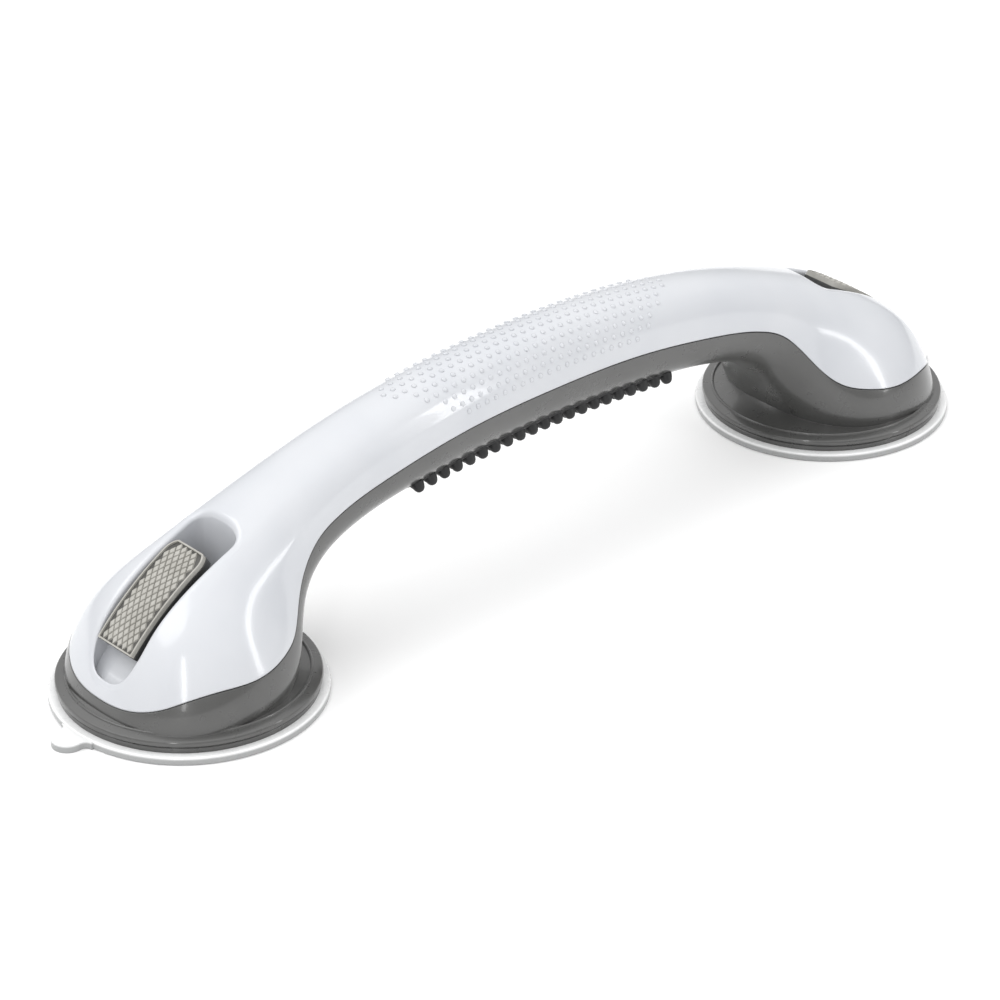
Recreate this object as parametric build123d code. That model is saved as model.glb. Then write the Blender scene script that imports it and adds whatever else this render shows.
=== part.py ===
from build123d import *
from functools import cache
from math import cos, pi, radians, sin
import os

import numpy as np

# A suction grab bar: an arched two-shell handle with a lever-locked suction cup at each end.
# Millimetres. The wall is the plane Z = 0, X runs along the bar, and the origin is half-way
# between the cups on the wall. The two ends are mirror images: each sub-part of an end is
# modelled for the right-hand end (+X) and mirrored for the left-hand one.

# ---- driving dimensions: the handle's outline ----
# The handle is a fan of rounded sections. Each section hangs between a point of the top line
# and a point of the low line, and has a half width. Station 0 is the middle of the grip and
# the last one is the foot of an end, where the handle meets its flange.
TOP_LINE = [(0, 88), (43, 86), (88, 79), (128, 67), (158, 54), (181, 38.5), (193, 20), (198, 7)]
LOW_LINE = [(0, 50), (37, 49), (72, 46), (98, 40), (112, 31), (119, 22), (123, 14.5), (126, 8)]
HALF_WIDTH = [16, 16.5, 17, 19, 25, 35, 41, 41]
ROUNDNESS = 2.3                  # superellipse exponent of a section: 2 is an ellipse
STATIONS = 12                    # steps from the middle of the grip to a foot
HALF_POINTS = 8                  # steps along half a section
SHELL = 2.6                      # wall of both mouldings

# The line where the white cover meets the grey housing, as height over distance from the middle.
PARTING_X = [0, 40, 80, 105, 116, 124, 132, 142, 157, 172, 186, 196, 206]
PARTING_Z = [68, 67, 61.5, 55.5, 49.5, 40.5, 30, 25, 22.5, 22.5, 18.5, 12.5, 9]
PARTING_GAP = 0.4

# ---- driving dimensions: the suction end ----
CUP_X = 157.2                    # half the distance between the two cup axes
PAD_RADIUS = 49.0
PAD_RIM = 3.0                    # thickness of the rubber rim
SEAL_RADIUS = 40.0               # inner edge of the rim's flat sealing land
TRAVEL = 4.0                     # how far the lever draws the membrane off the wall
TAB_REACH = 9.5                  # how far the release tab sticks out past the rim
TAB_RADIUS = 5.8
PLATE_RADIUS = 45.8
PLATE_TOP = 5.2
FLANGE_RADIUS = 46.5
FLANGE_BASE = 5.5
FLANGE_TOP = 8.2
BEAD_RADIUS = 42.6
STEM_RADIUS = 4.0
EYE_RADIUS = 4.8
RUNNING_GAP = 0.05               # radial play of a shaft in its bore
CLEAR = 0.3                      # gap between parts that move past each other
TOWER_RADIUS = 11.0
TOWER_TOP = 29.6
WASHER_THICK = 1.2
DISC_RADIUS = 10.0
DISC_THICK = 1.4
DISC_BASE = 6.6
BASE_SCREW_RING = 35.5
BASE_SEAT = PAD_RIM + CLEAR + 1.0 # level of the seats under the base screws' heads
BASE_SCREW_ANGLES = [55, 125, 235, 305]

# ---- driving dimensions: the lever and its well ----
PIN_Z = 40.0
PIN_RADIUS = 2.0
LEVER_SWING = 80.0               # degrees from locked to released
LEVER_HEAD = (154, 56)       # upper end, middle and outer end of the lever's top face
LEVER_MID = (173, 44.5)
LEVER_FOOT = (189, 30)
LEVER_HALF = 9.4
GRIP_PAD_THICK = 2.0
LEVER_THICK = 5.0                # grip pad and lever body together
EAR_INNER = 4.4                  # the ears straddle the stem's eye
EAR_OUTER = 8.2
WELL_HALF = 11.4
WELL_HEAD_X = 140.4              # upper end wall of the well
WELL_FOOT_X = 195.0
WELL_FLOOR = 33.4
WELL_WALL = 1.8
WELL_CORNER = 5.0
WELL_ROUND = 8.0
SLOT_HALF = 9.9                  # the floor is open under the lever's ears and heel
SLOT_X = (142.4, 171.0)

# ---- driving dimensions: the grip ----
STRIP_REACH = 66.0               # half length of the rubber strip under the grip
STRIP_HALF = 12.0
STRIP_PROUD = 0.5
STRIP_DEPTH = 1.4
GRIP_SCREWS_X = [16, 48]         # and the same on the other half
GRIP_SCREW_SEAT = 55.6           # level of the seats under the grip screws' heads
COLUMN_TOP = 62.0
SCREW_CORE = 1.45
SCREW_HEAD = 2.9


def smooth(knots, values, at, start_slope=0.0):
    """Cubic spline through the values, with a given slope at its start and free at its end."""
    k, v = np.asarray(knots, float), np.asarray(values, float)
    step = np.diff(k)
    rise = np.diff(v) / step
    system, load = np.zeros((len(k), len(k))), np.zeros(len(k))
    system[0, :2] = 2 * step[0], step[0]
    load[0] = 6 * (rise[0] - start_slope)
    for i in range(1, len(k) - 1):
        system[i, i - 1:i + 2] = step[i - 1], 2 * (step[i - 1] + step[i]), step[i]
        load[i] = 6 * (rise[i] - rise[i - 1])
    system[-1, -1] = 1
    bend = np.linalg.solve(system, load)
    i = int(np.clip(np.searchsorted(k, at) - 1, 0, len(k) - 2))
    a, b, h = k[i + 1] - at, at - k[i], step[i]
    return float((bend[i] * a ** 3 + bend[i + 1] * b ** 3) / (6 * h)
                 + (v[i] / h - bend[i] * h / 6) * a + (v[i + 1] / h - bend[i + 1] * h / 6) * b)


def station(s, inset):
    """Top point, low point and half width of the section at s, from 0 at the grip to 1 at a foot."""
    knots = np.linspace(0, 1, len(TOP_LINE))
    ends = []
    for line in (TOP_LINE, LOW_LINE):
        xs, zs = zip(*line)
        ends.append(np.array([smooth(knots, xs, s, start_slope=xs[1] / knots[1]), smooth(knots, zs, s)]))
    top, low = ends
    down = (low - top) / np.linalg.norm(low - top)
    return top + inset * down, low - inset * down, smooth(knots, HALF_WIDTH, s) - inset


def section(s, side, inset):
    """Closed superellipse section, moved inward by the inset: down the front, up the back."""
    top, low, half = station(s, inset)
    middle, reach = (top + low) / 2, (top - low) / 2
    halves = []
    for face in (-1, 1):
        points, steps = [], [i / HALF_POINTS for i in range(HALF_POINTS + 1)]
        for step in steps:
            turn = face * pi * (step - 0.5)
            x, z = middle + reach * np.sign(sin(turn)) * abs(sin(turn)) ** (2 / ROUNDNESS)
            points.append((side * x, face * half * abs(cos(turn)) ** (2 / ROUNDNESS), z))
        halves.append(Edge.make_spline(points, tangents=[(0, face, 0), (0, -face, 0)], parameters=steps))
    return Wire(halves)


@cache
def half_handle(inset):
    """The right-hand half of the handle as one solid, shrunk by the inset on every side."""
    # Four stations of the other half come first, so that the loft's free end lies outside the cut.
    sections = [section(i / STATIONS, -1, inset) for i in range(4, 0, -1)]
    sections += [section(i / STATIONS, 1, inset) for i in range(STATIONS + 1)]
    return Solid.make_loft(sections) & (Pos(150, 0, 50) * Box(300, 200, 200))


@cache
def above_parting(lift):
    """Everything above the right-hand half of the parting line, which is raised by the lift."""
    reach, ceiling = PARTING_X[-1], 130
    xs = np.linspace(0, reach, 31)
    seam = Edge.make_spline([(x, 0, smooth(PARTING_X, PARTING_Z, x) + lift) for x in xs])
    corners = [seam @ 1, (reach, 0, ceiling), (0, 0, ceiling), seam @ 0]
    sides = [Edge.make_line(a, b) for a, b in zip(corners, corners[1:])]
    return extrude(Face(Wire([seam, *sides])), amount=80, dir=(0, 1, 0), both=True)


def revolved(outline):
    """Solid of revolution about the right-hand cup's axis, from (radius, height) points."""
    face = Face(Wire.make_polygon([(r, 0, z) for r, z in outline]))
    return Pos(CUP_X, 0, 0) * Solid.revolve(face, 360, Axis.Z)


def post(x, y, low, high, radius):
    return Pos(x, y, (low + high) / 2) * Cylinder(radius, high - low)


def cross_bar(radius, half_length):
    """Cylinder along Y on the lever's pivot."""
    return Pos(CUP_X, 0, PIN_Z) * Rot(90, 0, 0) * Cylinder(radius, 2 * half_length)


def slab(outline, low, high):
    """Flat plate between two Y planes, from (x, z) points."""
    face = Face(Wire.make_polygon([(x, low, z) for x, z in outline]))
    return extrude(face, amount=high - low, dir=(0, 1, 0))


def screw_places():
    """Centres of the four base screws, round the right-hand cup."""
    for angle in BASE_SCREW_ANGLES:
        turn = radians(angle)
        yield CUP_X + BASE_SCREW_RING * cos(turn), BASE_SCREW_RING * sin(turn), angle


def pan_screw(x, y, seat, head, length):
    """Cross-recess screw pointing up, with its head's flat on the seat."""
    shape = post(x, y, seat - head, seat, SCREW_HEAD) + post(x, y, seat, seat + length, SCREW_CORE)
    for across, along in ((0.7, 2.6), (2.6, 0.7)):
        shape -= Pos(x, y, seat - head) * Box(across, along, head)
    return shape


def whole(half):
    """A right-hand half joined to its mirror image."""
    return half + mirror(half, about=Plane.YZ)


# ---- the suction cup and what draws it ----
def suction_cup():
    """Rubber cup: flat sealing rim, drawn-up membrane, a hub moulded round the lift disc, a tab."""
    ceiling = TRAVEL + CLEAR
    under = [(r, ceiling * (1 - (r / SEAL_RADIUS) ** 2)) for r in np.linspace(SEAL_RADIUS, 0, 9)]
    low, high = DISC_BASE - CLEAR, DISC_BASE + DISC_THICK + CLEAR
    top = high + 1.5
    pocket = [(0, low), (DISC_RADIUS + CLEAR, low), (DISC_RADIUS + CLEAR, high), (STEM_RADIUS + CLEAR, high)]
    hub = [(STEM_RADIUS + CLEAR, top), (11.9, top), (12.4, top - 0.5), (13, 6.4)]
    rim = [(34, PAD_RIM), (PAD_RADIUS - 0.5, PAD_RIM), (PAD_RADIUS, PAD_RIM - 0.5), (PAD_RADIUS, 0.4),
           (PAD_RADIUS - 0.4, 0)]
    return revolved([*under, *pocket, *hub, *rim]) + release_tab()


def release_tab():
    """Tab on the outer edge of the rim, with concave roots, that peels the cup off the wall."""
    edge, root = CUP_X + PAD_RADIUS, 2.5
    tip = edge + TAB_REACH - TAB_RADIUS
    shape = Pos(tip, 0) * Circle(TAB_RADIUS)
    shape += Pos((tip + edge) / 2 - 2, 0) * Rectangle(tip - edge + 4, 2 * TAB_RADIUS)
    foot = Pos(edge, 0) * Rectangle(2 * root, 2 * (TAB_RADIUS + root))
    for y in (-1, 1):
        foot -= Pos(edge + root, y * (TAB_RADIUS + root)) * Circle(root)
    return extrude(shape + foot, PAD_RIM - 0.2) - post(CUP_X, 0, -1, PAD_RIM, PAD_RADIUS - 2)


def lift_disc():
    """Steel disc moulded into the hub, clinched on the foot of the stem."""
    low, high = DISC_BASE, DISC_BASE + DISC_THICK
    return revolved([(STEM_RADIUS, low), (DISC_RADIUS, low), (DISC_RADIUS, high), (STEM_RADIUS, high)])


def stem():
    """Draw stem: round in the tower's bore, with a flat-sided eye for the pin on top."""
    shape = post(CUP_X, 0, DISC_BASE, PIN_Z, STEM_RADIUS) + cross_bar(EYE_RADIUS, STEM_RADIUS - 0.2)
    return shape - cross_bar(PIN_RADIUS + RUNNING_GAP, 3 * STEM_RADIUS)


# ---- the base of an end ----
def base_plate():
    """Pressure plate: a disc that clamps the rubber rim, with the stem's guide tower and its ribs."""
    bore, hollow, underside = STEM_RADIUS + RUNNING_GAP, 14.6, PAD_RIM + CLEAR
    outline = [(bore, 12.2), (hollow, 12.2), (hollow, 7.2), (33, underside), (38.6, underside),
               (38.6, PAD_RIM), (PLATE_RADIUS, PAD_RIM), (PLATE_RADIUS, PLATE_TOP - 0.6),
               (PLATE_RADIUS - 0.6, PLATE_TOP), (32, PLATE_TOP), (17, 9.4), (17, 13.5),
               (TOWER_RADIUS, 15), (TOWER_RADIUS, TOWER_TOP), (bore, TOWER_TOP)]
    shape = revolved(outline)
    rib = [(TOWER_RADIUS - 1, 14.5), (16, 9), (27, 5.8), (27, 7.4), (TOWER_RADIUS - 1, 22)]
    for turn in range(0, 360, 60):
        shape += Pos(CUP_X, 0, 0) * Rot(0, 0, turn) * slab(rib, -0.9, 0.9)
    for x, y, angle in screw_places():
        shape -= post(x, y, 0, PLATE_TOP + 1, SCREW_CORE + 0.1)
        shape -= post(x, y, 0, BASE_SEAT, SCREW_HEAD + 0.2)
    return shape


def cam_washer():
    """Hard washer on the tower, which the lever's cam ears slide on."""
    high, outer, inner = TOWER_TOP + WASHER_THICK, TOWER_RADIUS - 0.5, STEM_RADIUS + CLEAR
    chamfer = 0.3
    return revolved([(inner, TOWER_TOP), (outer, TOWER_TOP), (outer, high - chamfer),
                     (outer - chamfer, high), (inner, high)])


def base_screws():
    """Four screws from under the plate into the housing's bosses."""
    return Compound(children=[pan_screw(x, y, BASE_SEAT, 1.0, 9) for x, y, angle in screw_places()])


# ---- the lever ----
def lever_arc():
    """Centre and radius of the arc through the lever's top face."""
    (x1, z1), (x2, z2), (x3, z3) = LEVER_HEAD, LEVER_MID, LEVER_FOOT
    rows = np.array([[x2 - x1, z2 - z1], [x3 - x2, z3 - z2]])
    sums = np.array([x2 ** 2 - x1 ** 2 + z2 ** 2 - z1 ** 2, x3 ** 2 - x2 ** 2 + z3 ** 2 - z2 ** 2]) / 2
    centre = np.linalg.solve(rows, sums)
    return centre, float(np.hypot(*(np.array(LEVER_HEAD) - centre)))


def lever_band(above, below, half, trim):
    """Curved plate between two depths under the lever's top face, with its ends trimmed back."""
    centre, radius = lever_arc()
    turns = [np.arctan2(z - centre[1], x - centre[0]) for x, z in (LEVER_HEAD, LEVER_FOOT)]
    turns = [turns[0] - trim / radius, turns[1] + trim / radius]
    arcs = []
    for depth in (above, below):
        spots = [centre + (radius - depth) * np.array([cos(turn), sin(turn)])
                 for turn in np.linspace(*turns, 3)]
        arcs.append(Edge.make_three_point_arc(*[(x, -half, z) for x, z in spots]))
    upper, lower = arcs
    caps = [Edge.make_line(upper @ end, lower @ end) for end in (0, 1)]
    return extrude(Face(Wire([upper, *caps, lower])), amount=2 * half, dir=(0, 1, 0)) & lever_plan(trim)


def lever_plan(trim):
    """Bounds of the lever seen square to its face: a rounded head and a nearly square foot."""
    head, foot = Vector(LEVER_HEAD[0], 0, LEVER_HEAD[1]), Vector(LEVER_FOOT[0], 0, LEVER_FOOT[1])
    along = (head - foot).normalized()
    frame = Plane(origin=(head + foot) / 2, x_dir=along, z_dir=Vector(along.Z, 0, -along.X))
    shape = Rectangle((head - foot).length + 3 - 2 * trim, 2 * (LEVER_HALF - trim))
    shape = fillet(shape.vertices().group_by(Axis.X)[-1], 7.0)
    shape = fillet(shape.vertices().group_by(Axis.X)[0], 2.2)
    return extrude(frame * shape, amount=20, both=True)


def cam_outline():
    """Cam profile about the pivot: its reach towards the washer shrinks evenly as the lever lifts."""
    lock_reach = PIN_Z - TOWER_TOP - WASHER_THICK - RUNNING_GAP
    rate = TRAVEL / radians(LEVER_SWING)
    points = []
    for swing in np.linspace(0, LEVER_SWING, 17):
        turn = radians(-90 - swing)
        reach = lock_reach - rate * radians(swing)
        points.append((CUP_X + reach * cos(turn) - rate * sin(turn),
                       PIN_Z + reach * sin(turn) + rate * cos(turn)))
    return points


def lever():
    """Lever body with two cam ears that straddle the stem's eye."""
    shape = lever_band(GRIP_PAD_THICK, LEVER_THICK, LEVER_HALF, 0)
    ear = [*cam_outline(), (CUP_X - 5.1, PIN_Z), (CUP_X - 3.6, PIN_Z + 9.5), (CUP_X - 1, PIN_Z + 11.2),
           (CUP_X + 12, PIN_Z + 4.2), (CUP_X + 8.4, PIN_Z - 3.5), (CUP_X + 5.6, PIN_Z - 8.4)]
    for y in (-EAR_OUTER, EAR_INNER):
        shape += slab(ear, y, y + EAR_OUTER - EAR_INNER)
    return shape - cross_bar(PIN_RADIUS, EAR_OUTER + 1)


def lever_pad():
    """Soft textured pad moulded on the lever's top face."""
    return lever_band(0, GRIP_PAD_THICK, LEVER_HALF, 0.3)


def pivot_pin():
    return cross_bar(PIN_RADIUS, EAR_OUTER)


# ---- the two mouldings ----
def flange():
    """Round flange at the foot of the housing: sloping top, a thin bead, and a low dome inside it."""
    outline = [(36, FLANGE_BASE), (FLANGE_RADIUS, FLANGE_BASE), (FLANGE_RADIUS, FLANGE_TOP - 1.0),
               (FLANGE_RADIUS - 0.5, FLANGE_TOP - 0.5), (BEAD_RADIUS + 0.8, FLANGE_TOP),
               (BEAD_RADIUS + 0.5, FLANGE_TOP + 0.6), (BEAD_RADIUS - 0.3, FLANGE_TOP + 0.6),
               (BEAD_RADIUS - 0.7, FLANGE_TOP + 0.2), (37, 9.6), (31, 12.2), (31, 9.8), (36, 7.6)]
    return revolved(outline)


def foot_ring(inset):
    """The handle's foot carried straight down from its last section to the flange's base."""
    top, low, half = station(1, inset)
    return extrude(Face(section(1, 1, inset)), amount=min(top[1], low[1]) - FLANGE_BASE, dir=(0, 0, -1))


def strip_region():
    """Upright prism that bounds the grip strip, with rounded ends in plan."""
    return Pos(0, 0, 30) * extrude(RectangleRounded(2 * STRIP_REACH, 2 * STRIP_HALF, 9), 35)


def grip_strip():
    """Rubber strip let into the underside of the grip, standing slightly proud."""
    return whole((half_handle(-STRIP_PROUD) & strip_region()) - half_handle(STRIP_DEPTH))


def grip_screws():
    places = [side * x for side in (-1, 1) for x in GRIP_SCREWS_X]
    return Compound(children=[pan_screw(x, 0, GRIP_SCREW_SEAT, 1.8, 16) for x in places])


def lower_housing():
    """Grey lower shell: underside of the grip, the two ends' skirts and their flanges."""
    shape = half_handle(0) - above_parting(-PARTING_GAP) + foot_ring(0) + flange()
    shape -= foot_ring(SHELL)
    shape -= half_handle(SHELL)
    shape -= revolved([(0, 0), (33, 0), (33, FLANGE_BASE), (16, 10.2), (0, 10.2)])
    shape -= strip_region() - half_handle(STRIP_DEPTH)
    for x in GRIP_SCREWS_X:
        shape += post(x, 0, 50.5, COLUMN_TOP, 4.6) & half_handle(STRIP_DEPTH)
        shape -= post(x, 0, 40, GRIP_SCREW_SEAT, SCREW_HEAD + 0.3)
        shape -= post(x, 0, 50, COLUMN_TOP + 1, SCREW_CORE + 0.15)
    for x, y, angle in screw_places():
        web = Pos(x, y, 10.75) * Rot(0, 0, angle) * Pos(3, 0, 0) * Box(6, 2.4, 10.5)
        shape += (post(x, y, FLANGE_BASE, 16, 3.8) + web) & (half_handle(0.5) + foot_ring(0.5))
        shape -= post(x, y, FLANGE_BASE - 1, 14.5, SCREW_CORE + 0.05)
    return whole(shape)


def well(grow):
    """The recess that the lever swings in, grown by its wall for the tub around it."""
    half, low, high = WELL_HALF + grow, WELL_HEAD_X - grow, WELL_FOOT_X + grow
    floor = WELL_FLOOR - grow
    outline = [(low, 95), (low, floor), (172, floor), (178, 27.6 - grow), (184, 21.6 - grow),
               (188.5, 18.6 - grow), (high, 17.4 - grow), (high, 95)]
    bounds = Rectangle(high - low, 2 * half)
    bounds = chamfer(bounds.vertices().group_by(Axis.X)[0], WELL_CORNER)
    bounds = fillet(bounds.vertices().group_by(Axis.X)[-1], WELL_ROUND + grow)
    return slab(outline, -half, half) & extrude(Pos((low + high) / 2, 0) * bounds, 95)


def top_cover():
    """White upper shell, with the two lever wells and the grip screws' bosses."""
    outside = half_handle(0) & above_parting(0)
    tub = well(WELL_WALL) - post(CUP_X, 0, 0, TOWER_TOP + WASHER_THICK + CLEAR, TOWER_RADIUS + 1)
    slot = Pos(sum(SLOT_X) / 2, 0, 34) * Box(SLOT_X[1] - SLOT_X[0], 2 * SLOT_HALF, 14)
    shape = outside - half_handle(SHELL) + (tub & outside) - well(0) - slot
    for x in GRIP_SCREWS_X:
        shape += post(x, 0, COLUMN_TOP + 0.2, 90, 3.6) & outside
        shape -= post(x, 0, COLUMN_TOP, 73, SCREW_CORE + 0.05)
    return whole(shape)


def write(name, shape):
    solids = shape.solids()
    export_step(solids[0] if len(solids) == 1 else Compound(children=list(solids)), f"parts/{name}.step")


def main():
    os.makedirs("parts", exist_ok=True)
    for name, shape in (("top_cover", top_cover()), ("lower_housing", lower_housing()),
                        ("grip_strip", grip_strip()), ("grip_screws", grip_screws())):
        write(name, shape)
    for make in (suction_cup, lift_disc, stem, base_plate, cam_washer, base_screws,
                 lever, lever_pad, pivot_pin):
        shape = make()
        write(f"{make.__name__}_right", shape)
        write(f"{make.__name__}_left", mirror(shape, about=Plane.YZ))


if __name__ == "__main__":
    main()
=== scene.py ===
# %% [markdown]
# # A suction grab bar
# The bar is a hollow arched handle with a lever-locked suction cup at each end. Its measured parts
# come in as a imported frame, which fixes every size and every moving joint. This file gives them
# their looks. Everything is worked out in millimetres, as a maker would, and becomes metres
# only when a mesh is made.

# %% Load the frame
from math import cos, pi, radians, sin

import bmesh
import bpy
import numpy as np
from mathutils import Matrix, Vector


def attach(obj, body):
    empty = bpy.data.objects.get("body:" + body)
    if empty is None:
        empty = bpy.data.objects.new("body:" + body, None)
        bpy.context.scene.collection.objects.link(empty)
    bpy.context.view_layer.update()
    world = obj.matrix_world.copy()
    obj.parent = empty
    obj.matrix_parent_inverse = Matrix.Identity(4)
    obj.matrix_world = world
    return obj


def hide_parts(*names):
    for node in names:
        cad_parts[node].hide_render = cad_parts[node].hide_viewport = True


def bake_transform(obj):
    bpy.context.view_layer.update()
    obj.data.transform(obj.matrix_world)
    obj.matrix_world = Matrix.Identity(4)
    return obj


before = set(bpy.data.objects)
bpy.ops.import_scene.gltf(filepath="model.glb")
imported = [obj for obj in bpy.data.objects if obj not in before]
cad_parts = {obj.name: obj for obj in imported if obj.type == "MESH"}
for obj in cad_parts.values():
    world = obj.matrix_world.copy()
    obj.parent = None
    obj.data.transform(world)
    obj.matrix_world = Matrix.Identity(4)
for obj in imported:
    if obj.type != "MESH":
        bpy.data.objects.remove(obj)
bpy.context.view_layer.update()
MM = 0.001

# %% [markdown]
# ## The camera
# The bar is seen from its front left, from above, with a long lens, so that its far end is nearly
# as large as its near end. A camera looks along its own -Z, so its back points from the bar
# towards the viewer. It looks at a spot low on the bar, from a distance that leaves a margin
# round both cups.

# %% Camera
VIEW_AZIMUTH, VIEW_HEIGHT = -42.2, 29.5          # degrees round the bar and above the floor
VIEW_AIM, VIEW_DISTANCE = Vector((-0.012, 0, 0.02)), 1.52
LENS = 150

turn, rise = radians(VIEW_AZIMUTH), radians(VIEW_HEIGHT)
back = Vector((sin(turn) * cos(rise), -cos(turn) * cos(rise), sin(rise)))
camera = bpy.data.objects.new("camera", bpy.data.cameras.new("camera"))
camera.data.lens, camera.data.sensor_width = LENS, 36
camera.location = VIEW_AIM + VIEW_DISTANCE * back
camera.rotation_euler = (-back).to_track_quat("-Z", "Y").to_euler()
bpy.context.scene.collection.objects.link(camera)
bpy.context.scene.camera = camera
print("camera back vector:", tuple(round(part, 3) for part in back))

# %% [markdown]
# ## Shader maths as Python
# A finish is a graph of nodes. Written out node by node it is long and hard to read, so a number
# socket is wrapped in a small class: adding or multiplying two of them adds the Math node that
# does it. Every other node comes from one method, which sets the node up and then joins its sockets.

# %% Sockets that can be added and multiplied
class Amount:
    """A number socket of a finish, on which arithmetic builds Math nodes."""

    def __init__(self, finish, socket):
        self.finish, self.socket = finish, socket

    def maths(self, kind, *values):
        return self.finish.node("ShaderNodeMath", {"operation": kind}, dict(enumerate(values)))

    def __add__(self, other): return self.maths("ADD", self, other)
    def __radd__(self, other): return self.maths("ADD", other, self)
    def __sub__(self, other): return self.maths("SUBTRACT", self, other)
    def __rsub__(self, other): return self.maths("SUBTRACT", other, self)
    def __mul__(self, other): return self.maths("MULTIPLY", self, other)
    def __rmul__(self, other): return self.maths("MULTIPLY", other, self)

    def between(self, low, high):
        """0 below low, 1 above high, and smooth from one to the other."""
        ramp = {"interpolation_type": "SMOOTHSTEP"}
        limits = {"Value": self, "From Min": low, "From Max": high}
        return self.finish.node("ShaderNodeMapRange", ramp, limits)


class Finish:
    """One material: a Principled shader and the nodes in front of it."""

    def __init__(self, name, **constants):
        self.material = bpy.data.materials.new(name)
        self.material.use_nodes = True
        self.tree = self.material.node_tree
        self.shader = self.tree.nodes["Principled BSDF"]
        for socket, value in constants.items():
            self.shader.inputs[socket.replace("_", " ")].default_value = value
        self.place = self.node("ShaderNodeTexCoord", {}, {}, "Object")

    def node(self, kind, settings, values, out=0):
        """Adds a node, sets it up, joins its sockets and returns one of its outputs."""
        made = self.tree.nodes.new(kind)
        for setting, value in settings.items():
            setattr(made, setting, value)
        for key, value in values.items():
            self.join(made.inputs[key], value)
        return Amount(self, made.outputs[out])

    def join(self, socket, value):
        if isinstance(value, Amount):
            self.tree.links.new(value.socket, socket)
        else:
            socket.default_value = value

    def noise(self, scale, detail=2.0, roughness=0.5):
        """Cloudy pattern from 0 to 1, with about scale lumps to the metre."""
        sockets = {"Vector": self.place, "Scale": scale, "Detail": detail, "Roughness": roughness}
        return self.node("ShaderNodeTexNoise", {}, sockets)

    def mix(self, amount, first, second):
        sockets = {"Factor": amount, 6: first, 7: second}
        return self.node("ShaderNodeMix", {"data_type": "RGBA"}, sockets, 2)

    def edges(self, radius):
        """Normals that look as if every edge had this radius, in metres."""
        return self.node("ShaderNodeBevel", {"samples": 6}, {"Radius": radius})

    def bump(self, height, strength, distance, normal):
        sockets = {"Strength": strength, "Distance": distance, "Height": height, "Normal": normal}
        return self.node("ShaderNodeBump", {}, sockets)

    def drive(self, **sockets):
        for name, value in sockets.items():
            self.join(self.shader.inputs[name.replace("_", " ")], value)
        return self.material


# %% [markdown]
# ## The finishes
# Moulded plastic is never quite even: its colour clouds very slightly where it flowed, its gloss
# varies with the polish of the mould, and a faint waviness bends reflections. Handling leaves
# patches that are a little duller. Each finish therefore has a colour, a roughness and, all but
# the silicone, a bump from noise, all in the piece's own coordinates.

# %% White gloss shell
def white_gloss():
    finish = Finish("white_gloss", Coat_Weight=0.35, Coat_Roughness=0.04, IOR=1.49)
    cloud, wear, ripple = finish.noise(30), finish.noise(140, 4.0, 0.6), finish.noise(900, 1.0)
    colour = finish.mix(cloud.between(0.3, 0.7), (0.545, 0.56, 0.59, 1), (0.58, 0.592, 0.618, 1))
    normal = finish.bump(ripple, 0.04, 0.0002, finish.edges(0.0006))
    return finish.drive(Base_Color=colour, Roughness=0.13 + wear * 0.1, Normal=normal)


def grey_satin(name, dark, light, edge=0.0005):
    """Dark moulded plastic with a fine spark-eroded grain."""
    finish = Finish(name, Coat_Weight=0.55, Coat_Roughness=0.09, IOR=1.5)
    cloud, grain, wear = finish.noise(45), finish.noise(5200, 2.0), finish.noise(160, 4.0, 0.6)
    colour = finish.mix(cloud.between(0.3, 0.7), dark, light)
    normal = finish.bump(grain, 0.10, 0.00008, finish.edges(edge))
    return finish.drive(Base_Color=colour, Roughness=0.22 + wear * 0.14, Normal=normal)


def rubber(name, dark, light, rough, edge=0.0004):
    """Soft matt elastomer: a dull skin with fine pores and dusty patches."""
    finish = Finish(name, IOR=1.45)
    dust, pores = finish.noise(110, 5.0, 0.65), finish.noise(3800, 3.0, 0.7)
    colour = finish.mix(dust.between(0.35, 0.75), dark, light)
    normal = finish.bump(pores, 0.14, 0.0001, finish.edges(edge))
    return finish.drive(Base_Color=colour, Roughness=rough + dust * 0.15, Normal=normal)


def milky_silicone():
    """Clear silicone clouded with white, with painted shade: the colour turns dark grey below 1.9 to 2.9 mm
    of height, on the rim's side and the low underside.
    """
    finish = Finish("milky_silicone", IOR=1.41, Coat_Weight=0.3, Coat_Roughness=0.1)
    height = finish.node("ShaderNodeSeparateXYZ", {}, {0: finish.place}, "Z")
    cloud, smear = finish.noise(60), finish.noise(180, 4.0, 0.6)
    face = finish.mix(cloud.between(0.3, 0.7), (0.80, 0.805, 0.805, 1), (0.86, 0.865, 0.865, 1))
    # Painted shade: dark grey below 1.9 mm of height, fading into the pale colour by 2.9 mm.
    colour = finish.mix(height.between(0.0019, 0.0029), (0.34, 0.345, 0.345, 1), face)
    return finish.drive(Base_Color=colour, Roughness=0.22 + smear * 0.12, Normal=finish.edges(0.0005))


def plated_steel():
    """Zinc-plated steel: fine drawn lines and a slightly blotchy passivated colour."""
    finish = Finish("plated_steel", Metallic=1.0)
    blotch, lines = finish.noise(400, 4.0), finish.noise(9000, 1.0)
    colour = finish.mix(blotch.between(0.3, 0.7), (0.50, 0.50, 0.49, 1), (0.62, 0.61, 0.57, 1))
    normal = finish.bump(lines, 0.08, 0.00005, finish.edges(0.0002))
    return finish.drive(Base_Color=colour, Roughness=0.28 + blotch * 0.18, Normal=normal)


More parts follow.
